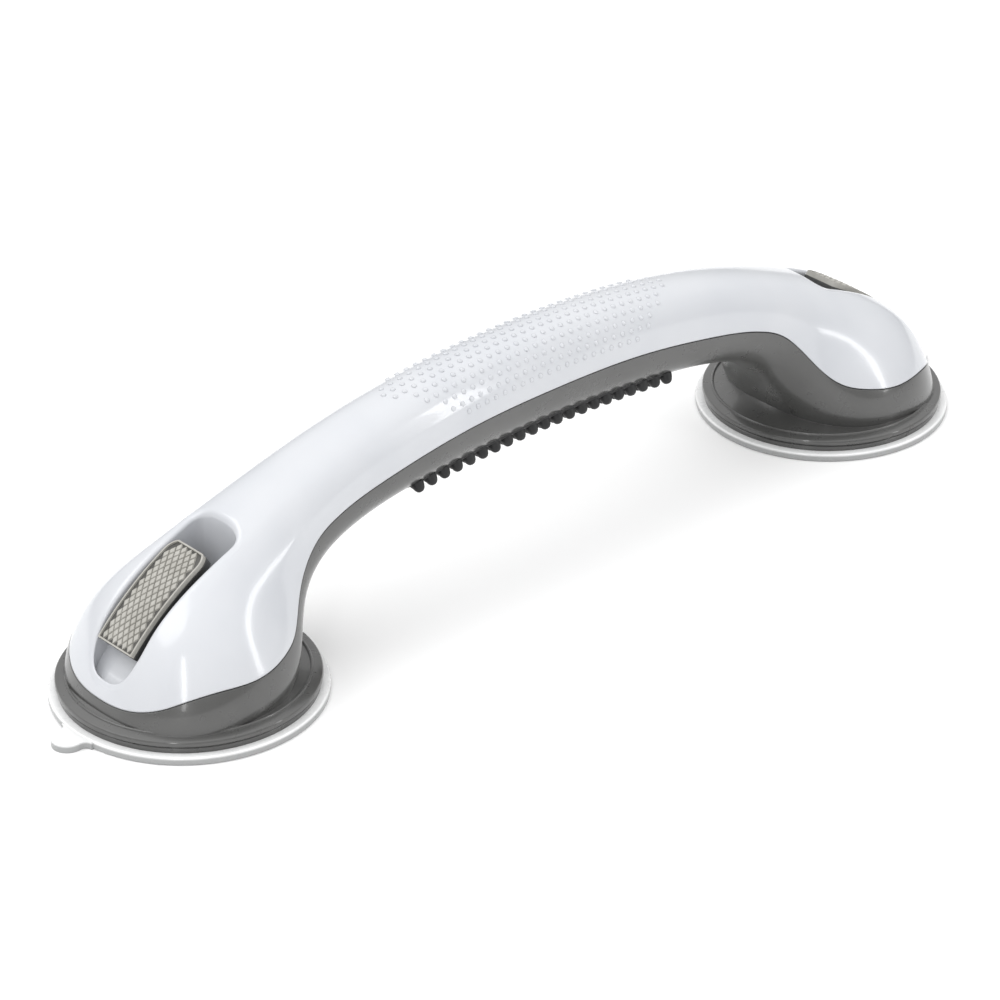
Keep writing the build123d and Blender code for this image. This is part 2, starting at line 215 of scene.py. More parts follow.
WHITE = white_gloss()
GREY = grey_satin("grey_satin", (0.066, 0.066, 0.064, 1), (0.078, 0.078, 0.076, 1))
DARK = grey_satin("dark_lever", (0.030, 0.030, 0.029, 1), (0.042, 0.042, 0.040, 1))
NYLON = grey_satin("natural_nylon", (0.62, 0.61, 0.57, 1), (0.70, 0.69, 0.66, 1))
BLACK = rubber("black_rubber", (0.010, 0.010, 0.011, 1), (0.022, 0.022, 0.023, 1), 0.42)
PAD = rubber("soft_pad", (0.36, 0.35, 0.32, 1), (0.43, 0.42, 0.39, 1), 0.5, 0.00015)
# Painted shade: the pad's rubber made much darker, for the floor of the grooves between the diamonds.
GROOVE_SHADE = rubber("soft_pad_groove", (0.075, 0.073, 0.068, 1), (0.10, 0.098, 0.092, 1), 0.6)
MILKY = milky_silicone()
STEEL = plated_steel()
print("finishes:", [material.name for material in bpy.data.materials if material.users])

# %% [markdown]
# ## The handle's shape as a rule
# The handle is a fan of rounded sections. Each hangs between a point of its top line and a point
# of its low line, and is a superellipse: rounder than a box, fuller than an ellipse. Smooth cubic
# splines carry the few chosen points along, so the surface has no bumps and any point
# of it can be worked out. The solid parts were made from these same driving dimensions.

# %% The outline's driving dimensions
TOP_LINE = np.array([(0, 88), (43, 86), (88, 79), (128, 67), (158, 54), (181, 38.5), (193, 20), (198, 7)])
LOW_LINE = np.array([(0, 50), (37, 49), (72, 46), (98, 40), (112, 31), (119, 22), (123, 14.5), (126, 8)])
HALF_WIDTH = [16, 16.5, 17, 19, 25, 35, 41, 41]
ROUNDNESS = 2.3
PARTING_X = [0, 40, 80, 105, 116, 124, 132, 142, 157, 172, 186, 196, 206]
PARTING_Z = [68, 67, 61.5, 55.5, 49.5, 40.5, 30, 25, 22.5, 22.5, 18.5, 12.5, 9]
PARTING_GAP, SHELL, CUP_X, FLANGE_BASE = 0.4, 2.6, 157.2, 5.5
RIDGE_TURN, RIDGE_WIDTH, RIDGE_SOFT = 0.62, 0.30, 0.03      # radians round a section
RIDGE_AT, RIDGE_REACH, RIDGE_RISE = 0.60, 0.22, 0.055       # along the handle, and share of a section


def smooth(knots, values, at, start_slope=0.0):
    """Cubic spline through the values, with a given slope at its start and free at its end."""
    knots, values, at = (np.asarray(item, float) for item in (knots, values, at))
    step = np.diff(knots)
    rise = np.diff(values) / step
    system, load = np.eye(len(knots)), np.zeros(len(knots))
    system[0, :2], load[0] = (2 * step[0], step[0]), 6 * (rise[0] - start_slope)
    for i in range(1, len(knots) - 1):
        system[i, i - 1:i + 2] = step[i - 1], 2 * (step[i - 1] + step[i]), step[i]
        load[i] = 6 * (rise[i] - rise[i - 1])
    bend = np.linalg.solve(system, load)
    i = np.clip(np.searchsorted(knots, at) - 1, 0, len(knots) - 2)
    ahead, behind, h = knots[i + 1] - at, at - knots[i], step[i]
    return ((bend[i] * ahead ** 3 + bend[i + 1] * behind ** 3) / (6 * h)
            + (values[i] / h - bend[i] * h / 6) * ahead + (values[i + 1] / h - bend[i + 1] * h / 6) * behind)


def stations(s, inset):
    """Top points, low points and half widths of the sections at s, from 0 at the grip to 1 at a foot."""
    knots = np.linspace(0, 1, len(TOP_LINE))
    lines = []
    for line in (TOP_LINE, LOW_LINE):
        along = smooth(knots, line[:, 0], s, line[1, 0] / knots[1])
        lines.append(np.stack([along, smooth(knots, line[:, 1], s)], -1))
    top, low = lines
    down = (low - top) / np.linalg.norm(low - top, axis=-1, keepdims=True)
    return top + inset * down, low - inset * down, smooth(knots, HALF_WIDTH, s) - inset


def shoulder(s, turn):
    """Share that a section is fuller by, near the soft ridge between its top face and its sides."""
    from_ridge = np.abs(np.arctan2(np.sin(turn), np.cos(turn))) - RIDGE_TURN
    fade = ((s - RIDGE_AT) / RIDGE_REACH) ** 2 + np.hypot(from_ridge, RIDGE_SOFT) / RIDGE_WIDTH
    return RIDGE_RISE * np.exp(-fade)


def on_handle(s, turn, inset=0.0):
    """Points of the handle's right-hand half: turn is 0 at the top, a quarter turn at the back."""
    top, low, half = stations(s, inset)
    fuller = 1 + shoulder(s, turn) * (inset == 0)
    up = fuller * np.sign(np.cos(turn)) * np.abs(np.cos(turn)) ** (2 / ROUNDNESS)
    out = fuller * np.sign(np.sin(turn)) * np.abs(np.sin(turn)) ** (2 / ROUNDNESS)
    spine = (top + low) / 2 + (top - low) / 2 * up[..., None]
    return np.stack([spine[..., 0], half * out, spine[..., 1]], -1)


def parting_height(x):
    return smooth(PARTING_X, PARTING_Z, np.abs(x))


print("grip section:", on_handle(np.zeros(3), np.array([0, pi / 2, pi])).round(1).tolist())

# %% [markdown]
# ## Solids from points
# A closed mesh can be cut and joined like clay, as long as it has no gap. Three small makers cover
# everything here: rings of points skinned into a tube with closed ends, an outline turned about
# a cup's axis, and an outline pushed along Y. Booleans then cut and join them.

# %% Makers of closed solids
def solid(name, points, faces):
    """A closed mesh from points in millimetres, with its faces turned outward."""
    mesh = bpy.data.meshes.new(name)
    mesh.from_pydata((np.asarray(points) * MM).tolist(), [], faces)
    shell = bmesh.new()
    shell.from_mesh(mesh)
    bmesh.ops.recalc_face_normals(shell, faces=shell.faces)
    shell.to_mesh(mesh)
    shell.free()
    made = bpy.data.objects.new(name, mesh)
    bpy.context.scene.collection.objects.link(made)
    return made


def skinned(name, rings):
    """A tube through rings of points, each with the same count, closed by a flat face at each end."""
    rings = np.asarray(rings)
    rows, count = rings.shape[:2]
    index = np.arange(rows * count).reshape(rows, count)
    across = np.roll(index, -1, axis=1)
    walls = np.stack([index[:-1], across[:-1], across[1:], index[1:]], -1).reshape(-1, 4)
    return solid(name, rings.reshape(-1, 3), walls.tolist() + [index[0].tolist(), index[-1].tolist()])


def turned(name, outline, steps=160, centre=CUP_X):
    """A solid of revolution about a cup's axis, from (radius, height) points. Radius 0 closes on the axis."""
    spin = np.linspace(0, 2 * pi, steps, endpoint=False)
    points, rings = [], []
    for radius, height in outline:
        count = steps if radius > 0 else 1
        rings.append(np.arange(len(points), len(points) + count))
        points += [(centre + radius * cos(turn), radius * sin(turn), height) for turn in spin[:count]]
    pairs = list(zip(rings, rings[1:])) + ([(rings[-1], rings[0])] if outline[0][0] > 0 else [])
    faces = []
    for one, other in pairs:
        for i in range(steps):
            j = (i + 1) % steps
            corners = [one[i % len(one)], one[j % len(one)], other[j % len(other)], other[i % len(other)]]
            faces.append([int(corner) for corner in dict.fromkeys(corners)])
    return solid(name, points, faces)


def pushed(name, outline, low, high):
    """A flat outline of (x, z) points pushed along Y."""
    return skinned(name, [[(x, y, z) for x, z in outline] for y in (low, high)])


def raised(name, outline, low, high):
    """A flat outline of (x, y) points pushed along Z."""
    return skinned(name, [[(x, y, z) for x, y in outline] for z in (low, high)])


def post(name, x, y, low, high, radius):
    spin = np.linspace(0, 2 * pi, 32, endpoint=False)
    return raised(name, [(x + radius * cos(turn), y + radius * sin(turn)) for turn in spin], low, high)


def shape(kind, body, *tools):
    """The body after each tool in turn is cut away, joined on or kept: DIFFERENCE, UNION or INTERSECT."""
    for tool in tools:
        step = body.modifiers.new(kind, "BOOLEAN")
        step.operation, step.solver, step.object = kind, "MANIFOLD", tool
        after = bpy.data.meshes.new_from_object(body.evaluated_get(bpy.context.evaluated_depsgraph_get()))
        body.modifiers.clear()
        body.data = after
        bpy.data.objects.remove(tool)
    return body


def copy_of(body, flip=False):
    """A copy, mirrored to the other end of the bar if flip is set."""
    made = bpy.data.objects.new(body.name, body.data.copy())
    bpy.context.scene.collection.objects.link(made)
    if flip:
        made.data.transform(((-1, 0, 0, 0), (0, 1, 0, 0), (0, 0, 1, 0), (0, 0, 0, 1)))
        made.data.flip_normals()
    return made


def finished(body, name, finish, cad_body, node):
    """Names a piece, gives it its finish, hangs it on the body it rides on and hides the imported part it
    stands for.
    """
    body.name = body.data.name = name
    body.data.materials.clear()
    for material in finish:
        body.data.materials.append(material)
    body.data.shade_smooth()
    body.data.set_sharp_from_angle(angle=radians(32))
    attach(body, cad_body)
    if node:
        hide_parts(node)
    print(name, "faces:", len(body.data.polygons))
    return body


# %% [markdown]
# ## The handle's inside and outside
# Both mouldings come from one closed handle. Its outside is skinned from sections, the inside is the
# same rule shrunk by the wall, and everything above the parting line is one prism. The foot of
# each end is carried straight down to its flange.

# %% Handle solids
def handle(name, inset, foot=2.0, rows=560, around=144):
    """The whole handle as one closed solid, with its feet carried down by some millimetres."""
    spread = np.linspace(-1, 1, rows)
    turns = np.linspace(0, 2 * pi, around, endpoint=False)
    s, turn = np.meshgrid(spread, turns, indexing="ij")
    rings = on_handle(np.abs(s), turn, inset)
    rings[..., 0] *= np.where(s < 0, -1, 1)
    ends = [rings[0] - [0, 0, foot], rings[-1] - [0, 0, foot]]
    return skinned(name, np.concatenate([ends[:1], rings, ends[1:]]))


def above_parting(lift):
    along = np.linspace(-PARTING_X[-1], PARTING_X[-1], 261)
    seam = np.stack([along, parting_height(along) + lift], -1).tolist()
    return pushed("above", [*seam, (PARTING_X[-1], 130), (-PARTING_X[-1], 130)], -80, 80)


# %% [markdown]
# ## The lever wells
# Each end has a deep recess for its lever. A recess like this is cut with one block, whose walls are
# as steep as the mould allows, and whose rim rolls over into the surface. The block is skinned from
# outlines laid over the handle: the widest ones follow the surface, so the rounded rim keeps
# its width wherever the handle curves. A wider, plain block makes the tub's walls.

# %% Well block
WELL_HEAD, WELL_FOOT, WELL_HALF = 140.4, 193, 11.4
HEAD_REACH, HEAD_FULLNESS = 7.0, 3.0      # length of an end, and how far it is from an ellipse, which is 2
FOOT_REACH, FOOT_FULLNESS = 11.0, 2.8
WELL_FLOOR_X, WELL_FLOOR_Z = [130, 172, 178, 184, 188.5, 191, 200], [33.4, 33.4, 27.6, 21.6, 17.6, 16.2, 15.4]
WELL_WALL, LIP = 1.8, 2.2


def surface_height(x, y):
    """Height of the handle's upper surface over points in plan."""
    s = np.linspace(0.2, 1, 500)
    _, _, half = stations(s, 0.0)
    heights = []
    for px, py in zip(x, y):
        turn = np.arcsin(np.clip((abs(py) / half) ** (ROUNDNESS / 2), 0, 1))
        points = on_handle(s, turn)
        heights.append(np.interp(px, points[:, 0], points[:, 2]))
    return np.array(heights)


def well_outline():
    """The recess in plan: straight sides between a squarish head and a rounder foot."""
    turns = np.linspace(0, pi / 2, 15)
    low, high = np.sin(turns), np.abs(np.cos(turns))
    head = np.column_stack([WELL_HEAD + HEAD_REACH * (1 - high ** (2 / HEAD_FULLNESS)),
                            WELL_HALF * low ** (2 / HEAD_FULLNESS)])
    foot = np.column_stack([WELL_FOOT - FOOT_REACH * (1 - low ** (2 / FOOT_FULLNESS)),
                            WELL_HALF * high ** (2 / FOOT_FULLNESS)])
    side = np.linspace(head[-1], foot[0], 34)[1:-1]
    upper = np.concatenate([head, side, foot])
    return np.concatenate([upper, upper[-2:0:-1] * [1, -1]])


def well_block(grow, lip):
    """Cutter for the recess, grown by a wall, with its rim rounded into the surface if lip is set."""
    outline = well_outline()
    along = np.roll(outline, -1, axis=0) - np.roll(outline, 1, axis=0)
    outward = np.stack([-along[:, 1], along[:, 0]], -1) / np.linalg.norm(along, axis=1, keepdims=True)
    layers = [(LIP + 0.9, -9.0), (LIP + 0.9, -0.35)] if lip else [(grow, -9.0)]
    if lip:
        for turn in np.radians([20, 32, 44, 56, 68, 79, 90]):
            layers.append((LIP * (1 - sin(turn)), LIP * (1 - cos(turn))))
    rings = []
    for offset, depth in layers:
        place = outline + outward * offset
        ceiling = surface_height(*place.T) - depth
        floor = np.interp(place[:, 0], WELL_FLOOR_X, WELL_FLOOR_Z) - grow
        rings.append(np.column_stack([place, 92 + 0 * ceiling if depth < -5 else np.maximum(ceiling, floor)]))
    place = outline + outward * grow
    rings.append(np.column_stack([place, np.interp(place[:, 0], WELL_FLOOR_X, WELL_FLOOR_Z) - grow]))
    rows, count = len(rings), len(outline)
    index = np.arange(rows * count).reshape(rows, count)
    across = np.roll(index, -1, axis=1)
    faces = np.stack([index[:-1], across[:-1], across[1:], index[1:]], -1).reshape(-1, 4).tolist()
    half = count // 2
    for layer in (index[0], index[-1]):
        strips = [[layer[i], layer[i + 1], layer[-i - 1], layer[-i % count]] for i in range(half)]
        faces += [[int(corner) for corner in dict.fromkeys(strip)] for strip in strips]
    return solid("well", np.concatenate(rings), faces)


def both(maker):
    """The tool at the right-hand end and its mirror image at the left-hand one."""
    tool = maker()
    return tool, copy_of(tool, flip=True)


# %% [markdown]
# ## The white cover
# The upper shell is an injection moulding about 2.6 mm thick. It is the outside of the handle above
# the parting line, less the inside, and what is taken from the inside is less still where
# the tubs and the screws' bosses stand.

# %% White cover
GRIP_SCREWS_X = [-48, -16, 16, 48]
SLOT_X, SLOT_HALF = (142.4, 171.0), 9.9
TOWER_RADIUS, TOWER_TOP, WASHER = 11.0, 29.6, 1.2


def tub():
    clearance = post("tower", CUP_X, 0, 0, TOWER_TOP + WASHER + 0.3, TOWER_RADIUS + 1)
    return shape("DIFFERENCE", well_block(WELL_WALL, lip=False), clearance)


def slot():
    corners = [(x, y) for x, y in ((SLOT_X[0], -1), (SLOT_X[1], -1), (SLOT_X[1], 1), (SLOT_X[0], 1))]
    return raised("slot", [(x, y * SLOT_HALF) for x, y in corners], 27, 41)


def make_cover():
    hollow = shape("DIFFERENCE", handle("hollow", SHELL), *both(tub))
    shape("DIFFERENCE", hollow, *[post("boss", x, 0, 62.2, 90, 3.6) for x in GRIP_SCREWS_X])
    cover = shape("INTERSECT", handle("cover", 0.0), above_parting(0.0))
    shape("DIFFERENCE", cover, hollow, *both(lambda: well_block(0.0, lip=True)), *both(slot))
    return shape("DIFFERENCE", cover, *[post("hole", x, 0, 60, 73, 1.5) for x in GRIP_SCREWS_X])


cover = finished(make_cover(), "white_cover", [WHITE], "housing", "top_cover")

# %% [markdown]
# ## Bumps that repeat
# The grip has three patterns of small raised shapes: fine dots on top, tall nubs under it and
# diamonds on the lever pads. Each is one little shape repeated over a surface, which is what Geometry
# Nodes do best. The spots are worked out on the surface with two directions each: which way
# is out, and which way runs along the bar. One tree stands a shape on every spot.

# %% The tree that stands a shape on every spot
def bumps_tree():
    tree = bpy.data.node_groups.new("bumps_on_spots", "GeometryNodeTree")
    for name, kind, way in (("Spots", "NodeSocketGeometry", "INPUT"), ("Bump", "NodeSocketObject", "INPUT"),
                            ("Size", "NodeSocketFloat", "INPUT"), ("Finish", "NodeSocketMaterial", "INPUT"),
                            ("Bumps", "NodeSocketGeometry", "OUTPUT")):
        tree.interface.new_socket(name, in_out=way, socket_type=kind)

    def node(kind, settings=(), **joined):
        made = tree.nodes.new(kind)
        for setting, value in dict(settings).items():
            setattr(made, setting, value)
        for socket, value in joined.items():
            target = made.inputs[socket.replace("_", " ")]
            if isinstance(value, bpy.types.NodeSocket):
                tree.links.new(value, target)
            else:
                target.default_value = value
        return made

    given = node("NodeGroupInput").outputs
    vector = {"data_type": "FLOAT_VECTOR"}
    out = node("GeometryNodeInputNamedAttribute", vector, Name="out").outputs[0]
    along = node("GeometryNodeInputNamedAttribute", vector, Name="along").outputs[0]
    upright = node("FunctionNodeAlignRotationToVector", {"axis": "Z"}, Vector=out).outputs[0]
    facing = node("FunctionNodeAlignRotationToVector", {"axis": "X", "pivot_axis": "Z"},
                  Rotation=upright, Vector=along).outputs[0]
    bump = node("GeometryNodeObjectInfo", Object=given["Bump"]).outputs["Geometry"]
    placed = node("GeometryNodeInstanceOnPoints", Points=given["Spots"], Instance=bump, Rotation=facing,
                  Scale=given["Size"]).outputs[0]
    real = node("GeometryNodeRealizeInstances", Geometry=placed).outputs[0]
    painted = node("GeometryNodeSetMaterial", Geometry=real, Material=given["Finish"]).outputs[0]
    tree.links.new(painted, node("NodeGroupOutput").inputs["Bumps"])
    return tree


BUMPS = bumps_tree()


def bumps(name, spots, out, along, bump, size, finish):
    """One mesh with the bump's shape stood on every spot."""
    mesh = bpy.data.meshes.new(name)
    mesh.from_pydata((np.asarray(spots) * MM).tolist(), [], [])
    for key, values in (("out", out), ("along", along)):
        layer = mesh.attributes.new(key, "FLOAT_VECTOR", "POINT")
        layer.data.foreach_set("vector", np.asarray(values, float).ravel())
    made = bpy.data.objects.new(name, mesh)
    bpy.context.scene.collection.objects.link(made)
    modifier = made.modifiers.new("bumps", "NODES")
    modifier.node_group = BUMPS
    chosen = {"Bump": bump, "Size": size, "Finish": finish}
    for item in BUMPS.interface.items_tree:
        if item.name in chosen:
            modifier[item.identifier] = chosen[item.name]
    done = bpy.data.meshes.new_from_object(made.evaluated_get(bpy.context.evaluated_depsgraph_get()))
    made.modifiers.clear()
    made.data = done
    bpy.data.objects.remove(bump)
    return made


def row_on_handle(x, turn):
    """Points, outward directions and lengthwise directions along a row of the handle at one turn."""
    table = np.linspace(0, 0.7, 900)
    s = np.interp(np.abs(x), on_handle(table, np.full(900, turn))[:, 0], table)
    turns, step = np.full(len(s), turn), 1e-3
    point = on_handle(s, turns)
    along = on_handle(s + step, turns) - on_handle(s - step, turns)
    round_it = on_handle(s, turns + step) - on_handle(s, turns - step)
    out = np.cross(along, round_it)
    top, low, _ = stations(s, 0.0)
    middle = (top + low) / 2
    from_middle = point - np.column_stack([middle[:, 0], 0 * s, middle[:, 1]])
    out *= np.sign(np.sum(out * from_middle, axis=1))[:, None]
    flip = np.where(x < 0, -1, 1)[:, None] * [1, 0, 0] + [0, 1, 1]
    out, along = (item / np.linalg.norm(item, axis=1, keepdims=True) for item in (out * flip, along * flip))
    return point * flip, out, along


# %% [markdown]
# ## Grip dots
# The top of the grip carries rows of low round bumps, staggered like a honeycomb. The field is
# longest along the crest and gets shorter down both sides, so its two ends are arrow-shaped.

# %% Dots
DOT_PITCH, DOT_ROW, DOT_ROWS, DOT_RADIUS, DOT_HEIGHT = 4.32, 3.65, 6, 1.0, 0.62
CREST_REACH, REACH_LOSS = 69.0, 1.1


def dome(name, radius, height, sink, steps=12):
    arc = np.linspace(0, pi / 2, 5)
    side = [(radius * cos(turn), height * sin(turn)) for turn in arc[:-1]]
    return turned(name, [(0, -sink), (radius, -sink), *side, (0, height)], steps, centre=0)


def make_dots():
    turns = np.linspace(0, pi / 2 + 0.6, 400)
    section = on_handle(np.zeros(400), turns)
    run = np.concatenate([[0], np.cumsum(np.linalg.norm(np.diff(section, axis=0), axis=1))])
    rows = []
    for row in range(-DOT_ROWS, DOT_ROWS + 1):
        arc = abs(row) * DOT_ROW
        x = (np.arange(-20, 20) + (0.5 if row % 2 == 0 else 0.0)) * DOT_PITCH
        x = x[np.abs(x) < CREST_REACH - REACH_LOSS * arc]
        rows.append(row_on_handle(x, np.sign(row) * np.interp(arc, run, turns)))
    spots, out, along = (np.concatenate(item) for item in zip(*rows))
    return bumps("dots", spots, out, along, dome("dot", DOT_RADIUS, DOT_HEIGHT, 0.15), 1.0, WHITE)


finished(make_dots(), "grip_dots", [WHITE], "housing", None)

# %% [markdown]
# ## The grey housing
# The lower shell is the outside of the handle below the parting line, with a round flange at each
# foot. The flange slopes, has a thin raised bead, and runs into the handle's inner side as a
# low dome. A shallow pocket under the grip takes the rubber strip.

# %% Grey housing
STRIP_REACH, STRIP_HALF, STRIP_PROUD, STRIP_DEPTH = 66.0, 12.0, 0.5, 1.4
BEAD = 42.6


def flange():
    arc = [(BEAD + 0.5 * cos(a), 8.35 + 0.55 * sin(a)) for a in np.linspace(-0.3, pi + 0.3, 9)]
    outline = [(36, FLANGE_BASE), (46.1, FLANGE_BASE), (46.5, 5.9), (46.5, 7.0), (46.2, 7.5), (45.6, 7.75)]
    inner_dome = [(39.5, 8.75), (36, 9.9), (33.5, 11.2), (31, 12.9), (31, 9.8), (36, 7.6)]
    return turned("flange", [*outline, *arc, *inner_dome])


def rounded(x0, x1, half, radii):
    """Rectangle in plan whose two ends have their own corner radius."""
    points = []
    for x, y, radius, start in ((x1, half, radii[1], 0), (x0, half, radii[0], 90), (x0, -half, radii[0], 180),
                                (x1, -half, radii[1], 270)):
        for angle in np.radians(np.linspace(start, start + 90, 9)):
            middle = (x - radius if x == x1 else x + radius, y - radius if y > 0 else y + radius)
            points.append((middle[0] + radius * cos(angle), middle[1] + radius * sin(angle)))
    return points


def strip_prism():
    return raised("prism", rounded(-STRIP_REACH, STRIP_REACH, STRIP_HALF, (9, 9)), 30, 65)


def base_boss(angle):
    turn = radians(angle)
    return lambda: post("boss", CUP_X + 35.5 * cos(turn), 35.5 * sin(turn), FLANGE_BASE, 16, 3.8)


def make_housing():
    hollow = handle("hollow", SHELL, foot=8)
    shape("DIFFERENCE", hollow, *[post("column", x, 0, 50.5, 62, 4.6) for x in GRIP_SCREWS_X])
    for angle in (55, 125, 235, 305):
        shape("DIFFERENCE", hollow, *both(base_boss(angle)))
    housing = shape("DIFFERENCE", handle("housing", 0.0), above_parting(-PARTING_GAP))
    shape("UNION", housing, *both(flange))
    shape("DIFFERENCE", housing, hollow)
    underside = [(0, 0), (33, 0), (33, FLANGE_BASE), (16, 10.2), (0, 10.2)]
    shape("DIFFERENCE", housing, *both(lambda: turned("underside", underside)))
    shape("DIFFERENCE", housing, shape("DIFFERENCE", strip_prism(), handle("inside", STRIP_DEPTH)))
    return shape("DIFFERENCE", housing, *[post("seat", x, 0, 40, 55.6, 3.2) for x in GRIP_SCREWS_X])


finished(make_housing(), "grey_housing", [GREY], "housing", "lower_housing")

# %% [markdown]
# ## The rubber strip
# A black rubber strip is let into the underside of the grip, and five staggered rows of tapered
# nubs on it press into the fingers. The strip is the handle made half a millimetre larger, kept
# inside its outline and cut to the pocket's depth.

# %% Strip and nubs
NUB_PITCH = 6.1


def make_strip():
    strip = shape("INTERSECT", handle("strip", -STRIP_PROUD), strip_prism())
    return shape("DIFFERENCE", strip, handle("inside", STRIP_DEPTH))


def make_nubs():
    profile = [(0, -0.6), (2.5, -0.6), (2.45, 0.3), (2.2, 1.2), (1.9, 2.1), (1.4, 2.8), (0.75, 3.2), (0, 3.3)]
    rows = []
    for row, y in enumerate((-9.8, -5.0, 0.0, 5.0, 9.8)):
        x = (np.arange(-11, 12) + (0.5 if row % 2 else 0.0)) * NUB_PITCH
        x = x[np.abs(x) < STRIP_REACH - 2.6 - (1.5 if abs(y) > 9 else 0)]
        tilt = np.arcsin((abs(y) / HALF_WIDTH[0]) ** (ROUNDNESS / 2))
        rows.append(row_on_handle(x, pi - tilt if y > 0 else pi + tilt))
    spots, out, along = (np.concatenate(item) for item in zip(*rows))
    nub = turned("nub", profile, 16, centre=0)
    return bumps("nubs", spots + out * STRIP_PROUD, out, along, nub, 1.0, BLACK)


finished(make_strip(), "rubber_strip", [BLACK], "housing", "grip_strip")
finished(make_nubs(), "strip_nubs", [BLACK], "housing", None)

# %% [markdown]
# ## The suction cups
# Each cup is one soft, milky moulding: a flat rim that seals on the wall, a thin membrane whose
# middle is moulded round a steel disc, and a tab to peel the rim off. When its lever is let go
# the middle drops while the rim stays where it is. The mesh here is one piece, fixed where it is
# made; it follows neither the housing nor the stem.

# %% Cups
PAD_RADIUS, RIM, SEAL_RADIUS, CEILING = 49.0, 3.0, 40.0, 4.3
TAB_REACH, TAB_RADIUS, TAB_ROOT, TAB_THICK = 9.5, 5.8, 2.5, 2.8


def tab_outline():
    """The tab in plan: a round nose, with a fillet on each side where it leaves the rim."""
    edge = CUP_X + PAD_RADIUS
    tip, inside, side = edge + TAB_REACH - TAB_RADIUS, edge - 3, TAB_RADIUS + TAB_ROOT
    corner = [(edge + TAB_ROOT + TAB_ROOT * cos(turn), side + TAB_ROOT * sin(turn))
              for turn in np.linspace(pi, 1.5 * pi, 7)]
    nose = [(tip + TAB_RADIUS * cos(turn), TAB_RADIUS * sin(turn))
            for turn in np.linspace(pi / 2, -pi / 2, 17)]
    return [(inside, side), *corner, *nose, *[(x, -y) for x, y in corner[::-1]], (inside, -side)]


def make_cup():
    under = [(r, CEILING * (1 - (r / SEAL_RADIUS) ** 2)) for r in np.linspace(0, SEAL_RADIUS, 15)]
    edge = [(48.5, 0), (48.9, 0.25), (PAD_RADIUS, 0.7), (PAD_RADIUS, 2.3), (48.8, 2.75), (48.4, RIM)]
    top = [(r, RIM + 3.4 * (34 - r) / 21) for r in np.linspace(34, 13, 9)[1:]]
    hub = [(12.4, 9.3), (11.9, 9.8), (4.3, 9.8), (4.3, 8.3), (10.3, 8.3), (10.3, 6.3), (0, 6.3)]
    cup = turned("cup", [*under, *edge, (34, RIM), *top, *hub], 192)
    return shape("UNION", cup, raised("tab", tab_outline(), 0, TAB_THICK))


def finish_cup(cup, side, centre):
    cup.name = cup.data.name = f"soft_cup_{side}"
    cup.data.materials.clear()
    cup.data.materials.append(MILKY)
    cup.data.shade_smooth()
    cup.data.set_sharp_from_angle(angle=radians(32))
    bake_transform(cup)
    points = np.array([vertex.co for vertex in cup.data.vertices]) / MM
    reach = np.hypot(points[:, 0] - centre / MM, points[:, 1])
    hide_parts(f"suction_cup_{side}")
    print(cup.name, "faces:", len(cup.data.polygons))


for side, cup, centre in zip(("right", "left"), both(make_cup), (CUP_X * MM, -CUP_X * MM)):
    finish_cup(cup, side, centre)

# %% [markdown]
# ## The lever pads
# A soft pad is moulded on each lever, with a thin plain border round a field of long diamonds that
# stand between grooves, whose floor is painted shade in a much darker colour. The pad is a slice
# of a curved band, kept inside the lever's outline and hollowed inside its border. The diamonds are
# the repeated shape again.

# %% Lever pads
LEVER_HEAD, LEVER_MID, LEVER_FOOT = np.array([(154, 56), (173, 44.5), (189, 30)])
LEVER_HALF, PAD_THICK, PAD_RECESS, BORDER = 9.4, 2.0, 0.75, 0.6
PAD_TRIM, CROWN, HEAD_ROUND = 0.3, 0.3, 7.0     # inset from the lever's edge, rise across it, corner radius
DIAMOND_LONG, DIAMOND_WIDE = 4.3, 2.62


def lever_arc():
    """Centre and radius of the arc through the lever's top face, and the angles of its two ends."""
    rows = np.array([LEVER_MID - LEVER_HEAD, LEVER_FOOT - LEVER_MID])
    sums = np.array([np.sum(LEVER_MID ** 2 - LEVER_HEAD ** 2), np.sum(LEVER_FOOT ** 2 - LEVER_MID ** 2)]) / 2
    centre = np.linalg.solve(rows, sums)
    ends = [np.arctan2(*(point - centre)[::-1]) for point in (LEVER_HEAD, LEVER_FOOT)]
    return centre, np.hypot(*(LEVER_HEAD - centre)), ends


ARC_CENTRE, ARC_RADIUS, ARC_ENDS = lever_arc()


def on_lever(angle, y, depth):
    """A point at an angle along the lever's face and y across it, at a depth that the crown adds to."""
    radius = ARC_RADIUS - depth - CROWN * (np.asarray(y) / LEVER_HALF) ** 2
    return np.stack([ARC_CENTRE[0] + radius * np.cos(angle), y, ARC_CENTRE[1] + radius * np.sin(angle)], -1)


def lever_band(above, below, trim):
    angles = np.linspace(ARC_ENDS[0] - trim / ARC_RADIUS, ARC_ENDS[1] + trim / ARC_RADIUS, 49)
    across = np.linspace(-LEVER_HALF - 1, LEVER_HALF + 1, 15)
    rings = [np.concatenate([on_lever(angle, across, above), on_lever(angle, across[::-1], below)])
             for angle in angles]
    return skinned("band", rings)


def lever_plan(trim):
    """Prism that bounds the lever seen square to its face: a rounded head and a nearly square foot."""
    along = LEVER_HEAD - LEVER_FOOT
    length, middle = np.hypot(*along), (LEVER_HEAD + LEVER_FOOT) / 2
    along = along / length
    reach = length / 2 + 1.5 - trim
    outline = rounded(-reach, reach, LEVER_HALF - trim, (max(2.2 - trim, 0.6), HEAD_ROUND - trim))
    rings = []
    for lift in (-20, 20):
        place = [middle + x * along + lift * np.array([-along[1], along[0]]) for x, y in outline]
        rings.append([(point[0], y, point[1]) for point, (x, y) in zip(place, outline)])
    return skinned("plan", rings)


